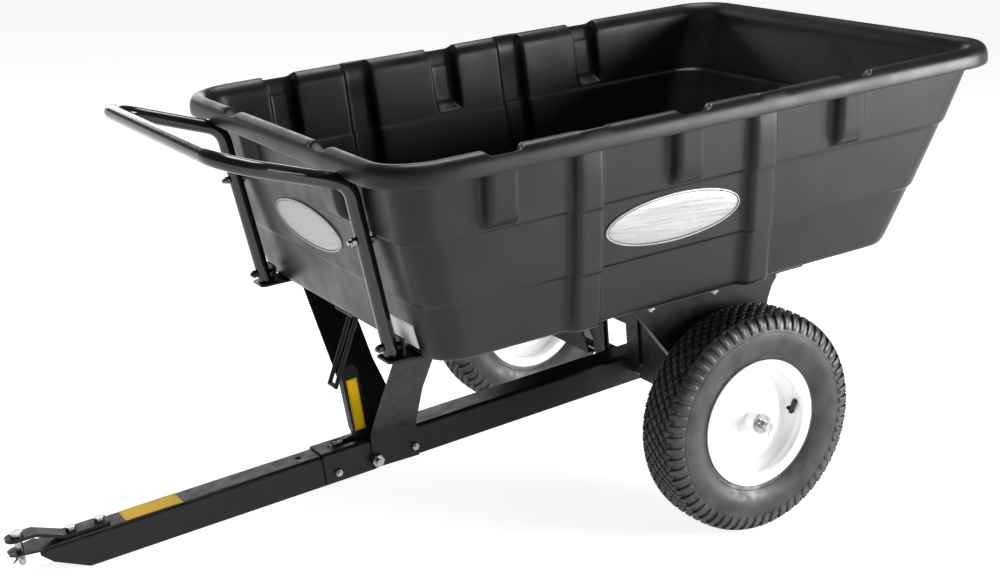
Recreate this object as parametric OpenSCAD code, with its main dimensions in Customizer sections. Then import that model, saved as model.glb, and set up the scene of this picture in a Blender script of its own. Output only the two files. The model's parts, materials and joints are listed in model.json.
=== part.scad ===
// Garden dump cart: poly tub on a two-wheel tow frame with a push handle.
// Millimetres, +Z up. Every node is drawn level, with the axle centre at the
// origin and the hitch towards -X, and parked() then stands the cart on its
// wheels and the front corner of the tongue.

/* [Wheels] */

// Tyre outer radius
wheel_r = 203; // [180:1:220]
// Cart centre line to wheel centre
track_half = 388; // [370:1:420]
// Tyre section half width
tyre_half_w = 50; // [40:1:50]
// Rim flange outer radius
rim_r = 117; // [112:0.5:120]
// Sheet thickness of the pressed rim halves
rim_t = 2.2; // [1.5:0.1:3]
// Hub tube outer radius
hub_r = 17.5; // [15:0.5:20]
// Hub tube half length
hub_half = 39; // [37:0.5:39]
// Axle rod radius
axle_r = 7.94; // [6:0.01:10]
// Radial running clearance of everything turning on a rod
run_gap = 0.06; // [0.02:0.01:0.1]
// Half length of the axle rod
axle_half = 452; // [448:1:465]

/* [Tub] */

// Wall and floor thickness of the moulded tub
wall_t = 4.5; // [3:0.5:6]
// Top of the rolled rim above the axle
rim_top_z = 588; // [560:1:620]
// Vertical corner radius of the walls
tub_corner_r = 60; // [40:1:80]
// Outward bulge of the full height ribs
rib_depth = 19; // [10:1:22]
// Width of a rib
rib_w = 46; // [30:1:60]
// Outward bulge of the stake pockets
pocket_depth = 23; // [15:1:25]
// Width of a stake pocket
pocket_w = 52; // [40:1:60]
// Height where the stake pockets start
pocket_z = 458; // [456:1:490]
// Length of the oval badges
badge_l = 273; // [200:1:274]
// Height of the oval badges
badge_h = 85; // [60:1:92]

/* [Handle] */

// Handle tube radius
tube_r = 12.7; // [10:0.1:16]
// Handle tube wall
tube_t = 1.9; // [1.2:0.1:3]
// Half the spread of the handle feet
foot_y = 265; // [230:1:280]
// Half the width of the crossbar, at the tube centre
bar_y = 292; // [270:1:310]
// How far the crossbar reaches in front of the axle
bar_x = 862; // [780:1:900]
// Height of the crossbar
bar_z = 611; // [560:1:650]

/* [Tongue] */

// Outer width of the rear tongue channel
rear_w = 60; // [54:1:70]
// Outer width of the front tongue channel
front_w = 53; // [46:0.5:53]
// Sheet thickness of both channels
channel_t = 3; // [2.5:0.1:3]
// Front end of the rear channel
rear_x0 = 661; // [640:1:680]
// Nose of the front channel
nose_x = 1209; // [1180:1:1230]
// Slope of the tongue relative to the tub rim, in degrees
tongue_slope = 1.8; // [0:0.1:3]
// Hitch pin distance in front of the axle
hitch_x = 1190; // [1185:1:1192]
// Hitch pin radius
hitch_pin_r = 6.35; // [5:0.01:8]

/* [Latch] */

// Latch lever plate thickness
lever_t = 5; // [3:0.5:8]
// Latch pivot bolt radius
pivot_r = 6.35; // [5:0.01:8]
// Striker rod radius
striker_r = 4; // [3:0.5:5]

/* [Hidden] */
$fn = 48;
// Underside of the tub above the axle: the wall tables start here
tub_bottom_z = 240;

left = -1;
right = 1;
tongue_top = 17.7;
tongue_bottom = -38.2;
front_top = tongue_top - channel_t - 0.3;
front_bottom = -41.5;
front_corner_x = 1090;
corner_x = -front_corner_x * cos(tongue_slope) - front_bottom * sin(tongue_slope);
corner_z = -front_corner_x * sin(tongue_slope) + front_bottom * cos(tongue_slope);
pitch = asin(wheel_r / norm([corner_x, corner_z])) - atan2(-corner_z, -corner_x);
shift_x = 347.3;

// ---- small helpers -------------------------------------------------------

function unit(v) = v / norm(v);
function left_of(v) = [-v.y, v.x];
function arc(c, r, a0, a1, n) =
  [for (i = [0:n]) c + r * [cos(a0 + (a1 - a0) * i / n), sin(a0 + (a1 - a0) * i / n)]];
function miter(p, i) =
  let (n = len(p),
       a = i > 0 ? unit(p[i] - p[i - 1]) : unit(p[1] - p[0]),
       b = i < n - 1 ? unit(p[i + 1] - p[i]) : unit(p[n - 1] - p[n - 2]),
       m = unit(a + b))
  left_of(m) / max(0.5, m * a);
function strip(p, t) =
  concat([for (i = [0:len(p) - 1]) p[i] + miter(p, i) * t / 2],
         [for (i = [len(p) - 1:-1:0]) p[i] - miter(p, i) * t / 2]);

module parked() {
  translate([shift_x, 0, wheel_r]) rotate([0, -pitch, 0]) children();
}

module in_tongue() {
  rotate([0, -tongue_slope, 0]) children();
}

module rod_x(r, x0, x1, y = 0, z = 0) {
  translate([x0, y, z]) rotate([0, 90, 0]) cylinder(r = r, h = x1 - x0);
}

module rod_y(r, y0, y1, x = 0, z = 0) {
  translate([x, y0, z]) rotate([-90, 0, 0]) cylinder(r = r, h = y1 - y0);
}

module rod_z(r, z0, z1, x = 0, y = 0) {
  translate([x, y, z0]) cylinder(r = r, h = z1 - z0);
}

module plate_xz(p, t) {
  rotate([90, 0, 0]) linear_extrude(t, center = true) polygon(p);
}

module plate_yz(p, x0, x1) {
  translate([x0, 0, 0]) rotate([90, 0, 90]) linear_extrude(x1 - x0) polygon(p);
}

module plate_xy(p, z0, z1) {
  translate([0, 0, z0]) linear_extrude(z1 - z0) polygon(p);
}

module hex(af, h) {
  linear_extrude(h) polygon([for (i = [0:5]) af / sqrt(3) * [cos(60 * i), sin(60 * i)]]);
}

module both_sides() {
  for (s = [left, right]) mirror([0, s < 0 ? 1 : 0, 0]) children();
}

module on_side(s) {
  mirror([0, s < 0 ? 1 : 0, 0]) children();
}

// Bolt along +Z: washer and head below z = 0, nut above the grip.
module bolt(r, grip, tail = 5) {
  translate([0, 0, -0.7 * r * 2]) hex(3.2 * r, 0.7 * r * 2);
  cylinder(r = r, h = grip + 1.7 * r + tail);
  translate([0, 0, grip]) hex(3.2 * r, 1.7 * r);
}

// Flat bolt along -Z: wide low head drawn level with z = 0, nut under the grip.
module floor_bolt(r, grip, tail = 4) {
  translate([0, 0, -1.7]) cylinder(r1 = 1.7 * r, r2 = 2.2 * r, h = 1.65);
  translate([0, 0, -grip - 1.7 * r - tail]) cylinder(r = r, h = grip + 1.7 * r + tail - 1);
  translate([0, 0, -grip - 1.7 * r]) hex(3.2 * r, 1.7 * r);
}

// ---- tub -----------------------------------------------------------------

side_tab = [[240, 367.6], [262, 371], [340, 383], [344, 387.5], [450, 399.5], [454, 404],
            [548, 414]];
front_tab = [[240, 582], [262, 586.5], [340, 601.5], [344, 605.5], [450, 627], [454, 632],
             [548, 643]];
rear_tab = [[240, 372], [262, 384], [340, 425.5], [344, 430], [450, 488.5], [454, 493],
            [548, 541]];
side_pockets = [220, -122, -475];
side_ribs = [35, -314];
front_pockets = [188, -188];
hem_reliefs = [275, -275];

// Stations across one raised feature: place along the wall, share of its depth.
function bump(c, w, d, up) =
  [[c + up * (w / 2 + 9), 0], [c + up * w / 2, 0.86 * d], [c + up * (w / 2 - 7), d],
   [c - up * (w / 2 - 7), d], [c - up * w / 2, 0.86 * d], [c - up * (w / 2 + 9), 0]];
function feature(kind, c, up) =
  kind == "rib" ? [for (b = bump(c, rib_w, 1, up)) [b[0], b[1], 0]]
                : [for (b = bump(c, pocket_w, 1, up)) [b[0], 0, b[1]]];
// The hem of the rim is cut higher where the handle passes under it.
function relief(c) = [for (q = [[16, 0], [12.5, 1], [-12.5, 1], [-16, 0]]) [c + q[0], 0, 0, q[1]]];
function wall_stations(tag, list) =
  [for (f = list) each [for (q = f) [tag, q[0], q[1], q[2], len(q) > 3 ? q[3] : 0]]];
function corner_stations(k) = [for (i = [0:6]) [4 + k, 90 * k + 15 * i, 0, 0, 0]];

right_list = [feature("pocket", side_pockets[0], 1), feature("rib", side_ribs[0], 1),
              feature("pocket", side_pockets[1], 1), feature("rib", side_ribs[1], 1),
              feature("pocket", side_pockets[2], 1)];
left_list = [feature("pocket", side_pockets[2], -1), feature("rib", side_ribs[1], -1),
             feature("pocket", side_pockets[1], -1), feature("rib", side_ribs[0], -1),
             feature("pocket", side_pockets[0], -1)];
front_list = [relief(hem_reliefs[0]), feature("pocket", front_pockets[0], 1),
              feature("pocket", front_pockets[1], 1), relief(hem_reliefs[1])];
stations = concat([[0, 0, 0, 0, 0]], corner_stations(0), wall_stations(1, right_list),
                  corner_stations(1), wall_stations(2, front_list), corner_stations(2),
                  wall_stations(3, left_list), corner_stations(3));

// Level: [height used to look the wall up, offset outwards, height, rib share,
//         pocket share, share of the pocket notch dip]
function spread(o) = max(0, min(1, 1 - o / 33));
function dip(o) = max(0, min(1, (34 - o) / 18));
function rim_level(o, z) = [548, o, z, 0.8 * spread(o), spread(o), dip(o)];
rim_notch = 11;
rim_k = rim_top_z - 588;

outer_levels = [
  [240, -46, 240, 0, 0, 0], [240, -22, 240, 0.7, 0, 0], [244, -13, 241.6, 0.85, 0, 0],
  [248, -6, 246.4, 0.95, 0, 0], [254, -1.6, 253.5, 1, 0, 0], [262, 0, 262, 1, 0, 0],
  [300, 0, 300, 1, 0, 0], [340, 0, 340, 1, 0, 0], [344, 0, 344, 1, 0, 0],
  [400, 0, 400, 1, 0, 0], [450, 0, 450, 1, 0, 0], [454, 0, 454, 1, 0, 0],
  [pocket_z, 0, pocket_z, 1, 0, 0], [pocket_z + 5, 0, pocket_z + 5, 1, 0.45, 0],
  [pocket_z + 14, 0, pocket_z + 14, 1, 0.86, 0], [pocket_z + 28, 0, pocket_z + 28, 1, 1, 0],
  [520, 0, 520, 0.95, 1, 0], [548, 0, 548, 0.8, 1, 0]
];
under_levels = [for (q = [[0.5, 560], [4, 573], [11, 581], [19, 583.5], [27, 577], [31, 568],
                          [32, 560], [33, 553]]) rim_level(q[0], q[1] + rim_k)];
over_levels = [for (q = [[36, 555], [36, 569], [33, 579], [27, 586], [19, 588], [12, 586.5],
                         [4, 580], [-3, 566]]) rim_level(q[0], q[1] + rim_k)];
inner_levels = [
  [548, -wall_t, 548, 0.8, 1, 0], [520, -wall_t, 520, 0.95, 1, 0],
  [pocket_z + 28, -wall_t, pocket_z + 32, 1, 1, 0],
  [pocket_z + 14, -wall_t, pocket_z + 17, 1, 0.86, 0],
  [pocket_z + 5, -wall_t, pocket_z + 8, 1, 0.4, 0],
  [pocket_z, -wall_t, pocket_z + 2, 1, 0, 0], [454, -wall_t, 455, 1, 0, 0],
  [450, -wall_t, 451, 1, 0, 0], [400, -wall_t, 400, 1, 0, 0], [344, -wall_t, 345, 1, 0, 0],
  [340, -wall_t, 341, 1, 0, 0], [300, -wall_t, 300, 1, 0, 0], [262, -wall_t, 264, 1, 0, 0],
  [254, -wall_t - 1.6, 256.5, 1, 0, 0], [248, -wall_t - 5, 250.4, 0.95, 0, 0],
  [244, -wall_t - 11, 246, 0.85, 0, 0], [240, -wall_t - 19, 240 + wall_t, 0.7, 0, 0],
  [240, -46, 240 + wall_t, 0, 0, 0]
];
levels = concat(outer_levels, under_levels, over_levels, inner_levels);

function tub_point(st, lv) =
  let (o = lv[1],
       hy = lookup(lv[0], side_tab),
       xf = lookup(lv[0], front_tab),
       xr = lookup(lv[0], rear_tab),
       r = max(12, tub_corner_r + o),
       d = st[2] * lv[3] * rib_depth + st[3] * lv[4] * pocket_depth,
       hem = o > 31.5 ? max(0, 562 + rim_k - lv[2]) : 0,
       z = lv[2] - st[3] * lv[5] * rim_notch + st[4] * 0.8 * hem)
  st[0] == 0 ? [xr + o, st[1], z] :
  st[0] == 1 ? [st[1], hy + o + d, z] :
  st[0] == 2 ? [-xf - o - d, st[1], z] :
  st[0] == 3 ? [st[1], -hy - o - d, z] :
  let (k = st[0] - 4,
       cx = k == 0 || k == 3 ? xr + o - r : -xf - o + r,
       cy = k == 0 || k == 1 ? hy + o - r : -hy - o + r)
  [cx + r * cos(st[1]), cy + r * sin(st[1]), z];

module tub_shell() {
  n = len(stations);
  m = len(levels);
  mid_x = -105;
  points = concat([for (lv = levels) each [for (st = stations) tub_point(st, lv)]],
                  [[mid_x, 0, levels[0][2]], [mid_x, 0, levels[m - 1][2]]]);
  walls = [for (j = [0:m - 2], i = [0:n - 1])
           let (a = j * n + i, b = j * n + (i + 1) % n, c = (j + 1) * n + (i + 1) % n,
                d = (j + 1) * n + i)
           each [[a, c, b], [a, d, c]]];
  caps = concat([for (i = [0:n - 1]) [n * m, i, (i + 1) % n]],
                [for (i = [0:n - 1]) [n * m + 1, (m - 1) * n + (i + 1) % n, (m - 1) * n + i]]);
  polyhedron(points, concat(walls, caps));
}

module tub() {
  color([0.16, 0.17, 0.17]) parked() tub_shell();
}

// ---- badges and labels ---------------------------------------------------

module oval(l, h, t) {
  linear_extrude(t) polygon([for (i = [0:63]) [l / 2 * cos(5.625 * i), h / 2 * sin(5.625 * i)]]);
}

module badge_plate() {
  difference() {
    oval(badge_l, badge_h, 3);
    translate([0, 0, 1.6]) oval(badge_l - 12, badge_h - 12, 3);
  }
  translate([0, 0, 1.6]) oval(badge_l - 26, badge_h - 26, 0.8);
}

side_lean = atan2(12, 106);
front_lean = atan2(21.5, 106);

module side_badge(s) {
  on_side(s) translate([-140, lookup(400, side_tab) + 0.06, 400])
    rotate([-90 - side_lean, 0, 0]) badge_plate();
}

module badge_left() {
  color([0.55, 0.57, 0.6]) parked() side_badge(left);
}

module badge_right() {
  color([0.55, 0.57, 0.6]) parked() side_badge(right);
}

front_badge_y = 14;

module badge_front() {
  color([0.55, 0.57, 0.6]) parked()
    translate([-lookup(404, front_tab) - 0.06, front_badge_y, 404])
      rotate([0, -90 - front_lean, 0]) rotate([0, 0, 90]) badge_plate();
}

module tub_label() {
  color([0.9, 0.9, 0.9]) parked()
    translate([-lookup(278, front_tab) - 0.06, -267, 278])
      rotate([0, -90 - atan2(15, 78), 0]) translate([-21, -42, 0]) cube([42, 84, 0.4]);
}

// ---- handle --------------------------------------------------------------

handle_foot = [-615, foot_y, tub_bottom_z];
handle_bend = [-658, foot_y + 7, 538];
handle_corner = [-bar_x, bar_y, bar_z];
bend_r = 40;
corner_r = 62;

function turn(a, b) = acos(a * b);

module place_axes(o, ux, uy, uz) {
  translate(o) rotate([atan2(uy.z, uz.z), asin(-ux.z), atan2(ux.y, ux.x)]) children();
}

module tube_between(a, b, r) {
  d = unit(b - a);
  translate(a) rotate([0, acos(d.z), atan2(d.y, d.x)]) cylinder(r = r, h = norm(b - a));
}

// Tube bend at corner p, coming in along d1 and leaving along d2. Its section is
// a hair larger than the straight tube's, so the straights end inside it.
module tube_bend(p, d1, d2, radius, r) {
  phi = turn(d1, d2);
  start = p - d1 * bend_cut(d1, d2, radius);
  uz = unit(cross(d1, d2));
  side = cross(uz, d1);
  place_axes(start + side * radius, -side, d1, uz)
    rotate_extrude(angle = phi) translate([radius, 0]) circle(r + 0.05);
}

function bend_cut(d1, d2, radius) = radius * tan(turn(d1, d2) / 2);

leg_dir = unit(handle_bend - handle_foot);
arm_dir = unit(handle_corner - handle_bend);
bar_dir = [0, -1, 0];
leg_cut = bend_cut(leg_dir, arm_dir, bend_r);
arm_cut = bend_cut(arm_dir, bar_dir, corner_r);
seat = 0.8;

module handle_path(r, below) {
  bar_half = handle_corner.y - arm_cut + seat;
  rod_y(r, -bar_half, bar_half, handle_corner.x, handle_corner.z);
  both_sides() {
    tube_between(handle_foot - leg_dir * below, handle_bend - leg_dir * (leg_cut - seat), r);
    tube_bend(handle_bend, leg_dir, arm_dir, bend_r, r);
    tube_between(handle_bend + arm_dir * (leg_cut - seat),
                 handle_corner - arm_dir * (arm_cut - seat), r);
    tube_bend(handle_corner, arm_dir, bar_dir, corner_r, r);
  }
}

wall_bolt_z = 443;
leg_share = (wall_bolt_z - handle_foot.z) / (handle_bend.z - handle_foot.z);
wall_bolt = handle_foot + (handle_bend - handle_foot) * leg_share;
foot_bolt_z = 258;
foot_share = (foot_bolt_z - handle_foot.z) / (handle_bend.z - handle_foot.z);
foot_bolt = handle_foot + (handle_bend - handle_foot) * foot_share;

module handle() {
  color([0.03, 0.03, 0.035]) parked() difference() {
    handle_path(tube_r, -2);
    handle_path(tube_r - tube_t, 3);
    both_sides() {
      rod_x(4.3, wall_bolt.x - 20, wall_bolt.x + 20, wall_bolt.y, wall_bolt_z);
      rod_x(4.3, foot_bolt.x - 20, foot_bolt.x + 20, foot_bolt.y, foot_bolt_z);
    }
  }
}

module handle_wall_bolts() {
  wall_x = -lookup(wall_bolt_z, front_tab);
  color([0.75, 0.76, 0.78]) parked() both_sides() translate([0, wall_bolt.y, wall_bolt_z]) {
    grip = wall_x + wall_t - (wall_bolt.x - tube_r);
    translate([wall_x + wall_t, 0, 0]) rotate([0, -90, 0]) bolt(4, grip + 1.3, 6);
    difference() {
      rod_x(8, wall_bolt.x + tube_r + 1.5, wall_x - 1.8);
      rod_x(3.9, wall_bolt.x, wall_x + 10);
    }
  }
}

foot_plate_x = handle_foot.x + tube_r + 0.1;

module handle_bracket(s) {
  on_side(s) difference() {
    union() {
      plate_xy([[-632, foot_y - 20], [-625, foot_y - 24], [-470, foot_y - 24],
                [-470, 300], [-500, 318], [-600, foot_y + 26], [-625, foot_y + 24],
                [-632, foot_y + 20]], tub_bottom_z - 4, tub_bottom_z);
      translate([foot_plate_x, foot_y - 18, tub_bottom_z - 1]) cube([4, 36, 32]);
    }
    rod_x(4.3, -620, -590, foot_bolt.y, foot_bolt_z);
    rod_z(4.2, tub_bottom_z - 8, tub_bottom_z + 2, -505, 262);
  }
}

module handle_bracket_left() {
  color([0.04, 0.04, 0.045]) parked() handle_bracket(left);
}

module handle_bracket_right() {
  color([0.04, 0.04, 0.045]) parked() handle_bracket(right);
}

module handle_foot_bolts() {
  color([0.75, 0.76, 0.78]) parked() both_sides() {
    translate([foot_plate_x + 4, foot_bolt.y, foot_bolt_z]) rotate([0, -90, 0])
      bolt(4, foot_plate_x + 4 - (foot_bolt.x - tube_r) + 1.3, 4);
    translate([-505, 262, tub_bottom_z + wall_t]) floor_bolt(4, wall_t + 4);
  }
}

// ---- side brackets and struts (turn with the tub) ---------------------------

bracket_y = 324;
bracket_t = 4;
bracket_edge_front = [[-190, 236], [-117, 133], [-26, 2]];
bracket_bolt_x = [-160, -25, 112];

module side_bracket(s) {
  on_side(s) difference() {
    union() {
      translate([0, bracket_y, 0]) {
        plate_xz(concat([[-188.5, 238], [-117, 133], [-26, 2]], arc([0, 0], 26, 184, 356, 16),
                        [[34, 30], [76, 110], [100, 160], [105, 182], [116, 206], [132, 224],
                         [150, 234], [160, 238]]),
                 bracket_t);
        for (i = [0:1]) {
          a = bracket_edge_front[i];
          b = bracket_edge_front[i + 1];
          translate([a.x, bracket_t / 2 - 17, a.y])
            rotate([0, atan2(b.x - a.x, b.y - a.y), 0])
              translate([-3.5, 0, i == 0 ? 3 : 0.6]) cube([3.7, 16.5, norm(b - a) - 2.7]);
        }
      }
      translate([-190, bracket_y, tub_bottom_z - 4]) cube([352, 32, 4]);
      rod_y(17, bracket_y - 1, bracket_y + 2.4);
    }
    rod_y(axle_r + run_gap, bracket_y - 20, bracket_y + 10);
    for (x = bracket_bolt_x) rod_z(4.2, 225, 245, x, bracket_y + 17);
  }
}

module side_bracket_left() {
  color([0.04, 0.04, 0.045]) parked() side_bracket(left);
}

module side_bracket_right() {
  color([0.04, 0.04, 0.045]) parked() side_bracket(right);
}

module side_bracket_bolts() {
  color([0.75, 0.76, 0.78]) parked() both_sides()
    for (x = bracket_bolt_x) translate([x, bracket_y + 17, tub_bottom_z + wall_t])
      floor_bolt(4, wall_t + 4);
}

module axle_brace(s) {
  on_side(s) {
    plate_yz([[88, -8], [140, 84], [bracket_y - 2, 84], [bracket_y - 2, -8]], -24, -20);
    translate([-24, 88, -8]) cube([15, bracket_y - 90, 3]);
  }
}

module axle_brace_left() {
  color([0.04, 0.04, 0.045]) parked() axle_brace(left);
}

module axle_brace_right() {
  color([0.04, 0.04, 0.045]) parked() axle_brace(right);
}

panel_z = 14;

// Sheet between the side brackets, behind the struts, that stiffens the floor.
module cross_panel() {
  half_w = bracket_y - bracket_t / 2 - 0.2;
  color([0.04, 0.04, 0.045]) parked() {
    plate_yz([[-half_w, 235.2], [-half_w, 84], [-140, 84], [-84, panel_z], [-34, panel_z],
              [-34, 84], [34, 84], [34, panel_z], [84, panel_z], [140, 84], [half_w, 84],
              [half_w, 235.2]], -11.3, -8.8);
    both_sides() translate([-11.3, 140, 84]) cube([14, half_w - 140, 2.5]);
  }
}

module center_strut(s) {
  on_side(s) difference() {
    union() {
      translate([-16, 40, 0]) cube([4.5, 40, tub_bottom_z - 2]);
      translate([-16, 40, tub_bottom_z - 4.5]) cube([48, 40, 4.5]);
      rod_y(16, 40, 80);
    }
    rod_y(axle_r + run_gap, 30, 90);
    rod_z(4.2, 225, 245, 14, 60);
  }
}

module center_strut_left() {
  color([0.04, 0.04, 0.045]) parked() center_strut(left);
}

module center_strut_right() {
  color([0.04, 0.04, 0.045]) parked() center_strut(right);
}

module center_strut_bolts() {
  color([0.75, 0.76, 0.78]) parked() both_sides()
    translate([14, 60, tub_bottom_z + wall_t]) floor_bolt(4, wall_t + 4.5);
}

// ---- latch -----------------------------------------------------------------

pivot = [-562, -38];
striker_at = [-614, 110];
striker_top = [-556, 236];
striker_y = 13;

module latch_striker() {
  rise = striker_top - striker_at;
  color([0.1, 0.1, 0.11]) parked() difference() {
    union() {
      translate([-578, -36, tub_bottom_z - 4]) cube([52, 72, 4]);
      rod_y(striker_r, -striker_y, striker_y, striker_at.x, striker_at.y);
      both_sides() translate([striker_at.x, striker_y, striker_at.y]) {
        sphere(striker_r + 0.4);
        rotate([0, atan2(rise.x, rise.y), 0]) cylinder(r = striker_r, h = norm(rise));
      }
    }
    both_sides() rod_z(4.2, 225, 245, -538, striker_y);
  }
}

module striker_bolts() {
  color([0.75, 0.76, 0.78]) parked() both_sides()
    translate([-538, striker_y, tub_bottom_z + wall_t]) floor_bolt(4, wall_t + 4);
}

lever_front = [[-600.4, 126], [-590, 18], [-577, -34]];

module latch_lever() {
  color([0.04, 0.04, 0.045]) parked() difference() {
    union() {
      plate_xz([[-600.4, 122], [-590, 18], [-576, -38], [-548, -38], [-553, 28],
                [-563.6, 118]], lever_t);
      rod_y(18.5, -lever_t / 2, lever_t / 2, -582, 119.5);
      rod_y(14, -7, 7, pivot.x, pivot.y);
      for (i = [0:1]) {
        a = lever_front[i];
        b = lever_front[i + 1];
        w = i == 0 ? 9 : 6.5;
        translate([a.x, -w, a.y]) rotate([0, atan2(b.x - a.x, b.y - a.y), 0])
          translate([-3.2, 0, i == 0 ? 0 : -0.5]) cube([3.2, 2 * w, norm(b - a)]);
      }
    }
    rod_y(pivot_r + run_gap, -20, 20, pivot.x, pivot.y);
  }
}

module lever_label() {
  color([0.93, 0.78, 0.08]) parked() translate([0, -lever_t / 2 - 0.26, 0])
    plate_xz([[-590, 112], [-569, 112], [-562, 14], [-583, 14]], 0.4);
}

spring_r = 5;

module latch_spring() {
  z0 = 23.5;
  wire = 0.9;
  coils = 8;
  color([0.35, 0.35, 0.37]) parked() in_tongue() {
    for (i = [0:coils - 1])
      translate([-629 + i * 2.6, 0, z0]) rotate([0, 90, 0])
        rotate_extrude() translate([spring_r - wire, 0]) circle(wire + 0.45, $fn = 16);
    rod_x(wire, -636.5, -629, 0, z0);
    rod_z(wire, 12, z0, -636.5, 0);
    rod_x(wire, -611, -598, 0, z0);
    for (x = [-629, -611]) rod_z(wire, z0 - spring_r, z0 + spring_r, x, 0);
  }
}

// ---- tongue ----------------------------------------------------------------

module round_top(h, z0, z1, r) {
  translate([-h, z0]) square([2 * h, z1 - z0 - r]);
  translate([-(h - r), z0]) square([2 * (h - r), z1 - z0]);
  for (s = [-1, 1]) translate([s * (h - r), z1 - r]) circle(r);
}

module channel(w, z0, z1, x0, x1, r = 7) {
  translate([x0, 0, 0]) rotate([90, 0, 90]) linear_extrude(x1 - x0) difference() {
    round_top(w / 2, z0, z1, r);
    round_top(w / 2 - channel_t, z0 - 5, z1 - channel_t, r - channel_t);
  }
}

small_bolt = [-637, -22];
rear_bolt = [-485, -19];
tongue_bolt_r = 3.7;
tongue_hole_r = 3.8;
slot_x0 = -628;
slot_x1 = -524;

module cross_holes() {
  for (q = [[small_bolt, tongue_hole_r], [rear_bolt, tongue_hole_r]])
    rod_y(q[1], -60, 60, q[0].x, q[0].y);
}

module rear_tongue() {
  color([0.05, 0.05, 0.055]) parked() difference() {
    in_tongue() difference() {
      channel(rear_w, tongue_bottom, tongue_top, -rear_x0, 28);
      cross_holes();
      translate([slot_x0, -13, 0]) cube([slot_x1 - slot_x0, 26, 30]);
      rod_z(3.2, 0, 30, -636.5, 0);
    }
    rod_y(axle_r + 0.03, -60, 60);
    rod_y(pivot_r + 0.1, -60, 60, pivot.x, pivot.y);
  }
}

module front_tongue() {
  tail_x = pivot.x - 1.2;
  color([0.05, 0.05, 0.055]) parked() difference() {
    in_tongue() {
      difference() {
        union() {
          channel(front_w, front_bottom, front_top, -1164, tail_x);
          for (s = [-1, 1])
            rod_y(20.6, s < 0 ? -front_w / 2 : front_w / 2 - channel_t,
                  s < 0 ? -front_w / 2 + channel_t : front_w / 2, tail_x, -20.4);
        }
        translate([-652, -front_w / 2 + channel_t, -60]) cube([200, front_w - 2 * channel_t, 90]);
        rotate([90, 0, 0]) linear_extrude(80, center = true)
          polygon([[-1180, 6.5], [-1166, 6.5], [-1146, -13], [-front_corner_x, front_bottom],
                   [-front_corner_x, -60], [-1180, -60]]);
        translate([-600, -40, 4]) rotate([0, 25, 0]) cube([70, 80, 30]);
        rod_y(tongue_hole_r, -60, 60, small_bolt.x, small_bolt.y);
        rod_z(5.5, 0, 30, -696, 0);
        for (x = [-1056, -1104]) rod_z(5, 0, 30, x, 0);
        rod_z(hitch_pin_r + 0.07, 0, 30, -hitch_x, 0);
      }
      difference() {
        plate_xy([[-1158, 26.5], [-1164, 26.5], [-nose_x + 9, 17], [-nose_x, 10],
                  [-nose_x, -10], [-nose_x + 9, -17], [-1164, -26.5], [-1158, -26.5]],
                 front_top - channel_t, front_top);
        rod_z(hitch_pin_r + 0.07, 0, 30, -hitch_x, 0);
      }
    }
    rod_y(pivot_r + 0.1, -60, 60, pivot.x, pivot.y);
  }
}

module tongue_label() {
  color([0.93, 0.78, 0.08]) parked() in_tongue()
    translate([-1018, -19.4, front_top + 0.05]) cube([100, 38.8, 0.4]);
}

strap_t = 6;
strap_w = 32;
strap_rise = 20.1;

module hitch_strap() {
  z0 = front_top;
  mid = z0 + strap_t / 2;
  path = [[-1186, mid + strap_rise], [-1164, mid + strap_rise], [-1116, mid], [-1043, mid]];
  color([0.05, 0.05, 0.055]) parked() in_tongue() difference() {
    union() {
      plate_xz(strip(path, strap_t), strap_w);
      rod_z(strap_w / 2, z0 + strap_rise, z0 + strap_rise + strap_t, -1194, 0);
      translate([-1194, -strap_w / 2, z0 + strap_rise]) cube([10, strap_w, strap_t]);
    }
    for (x = [-1056, -1104]) rod_z(5, 0, 60, x, 0);
    rod_z(hitch_pin_r + 0.07, 0, 60, -hitch_x, 0);
  }
}

module hitch_strap_bolts() {
  color([0.75, 0.76, 0.78]) parked() in_tongue() for (x = [-1056, -1104])
    translate([x, 0, front_top + strap_t]) rotate([180, 0, 0])
      bolt(4.76, strap_t + channel_t, 5);
}

// ---- legs, bolts, axle -------------------------------------------------------

leg_x0 = -568;
leg_x1 = -476;

module support_leg(s) {
  path = [[31.75, -54], [31.75, 10], [203, 238.2], [236, 238.2]];
  on_side(s) difference() {
    plate_yz(strip(path, 3), leg_x0, leg_x1);
    translate([0, 130, 0]) plate_xz([[leg_x1, 8], [leg_x1 - 13, 100], [leg_x1 - 13, 260],
                                     [leg_x1 + 9, 260], [leg_x1 + 9, 8]], 240);
    rod_y(pivot_r + 0.1, 20, 50, pivot.x, pivot.y);
    in_tongue() rod_y(tongue_hole_r, 20, 50, rear_bolt.x, rear_bolt.y);
  }
}

module support_leg_left() {
  color([0.05, 0.05, 0.055]) parked() support_leg(left);
}

module support_leg_right() {
  color([0.05, 0.05, 0.055]) parked() support_leg(right);
}

module pivot_bolt() {
  color([0.78, 0.79, 0.81]) parked() translate([pivot.x, 0, pivot.y]) {
    translate([0, 33.4, 0]) rotate([90, 0, 0]) bolt(pivot_r, 66.8, 8);
    both_sides() difference() {
      rod_y(9.2, 7.4, 23.2);
      rod_y(pivot_r - 0.1, 0, 40);
    }
  }
}

module leg_bolts() {
  color([0.75, 0.76, 0.78]) parked() in_tongue()
    translate([rear_bolt.x, 33.5, rear_bolt.y]) rotate([90, 0, 0]) bolt(tongue_bolt_r, 67, 3);
}

module tongue_bolts() {
  color([0.75, 0.76, 0.78]) parked() in_tongue()
    translate([small_bolt.x, 30, small_bolt.y]) rotate([90, 0, 0]) bolt(tongue_bolt_r, 60, 3);
}

cotter_turn = 45;

module axle() {
  color([0.6, 0.61, 0.63]) parked() difference() {
    union() {
      rod_y(axle_r, -axle_half, axle_half);
      both_sides() rod_y(12.5, 327.2, 343.4);
    }
    for (s = [left, right]) rotate([0, -cotter_turn, 0]) rod_z(2.3, -30, 30, 0, s * 438);
  }
}

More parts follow.
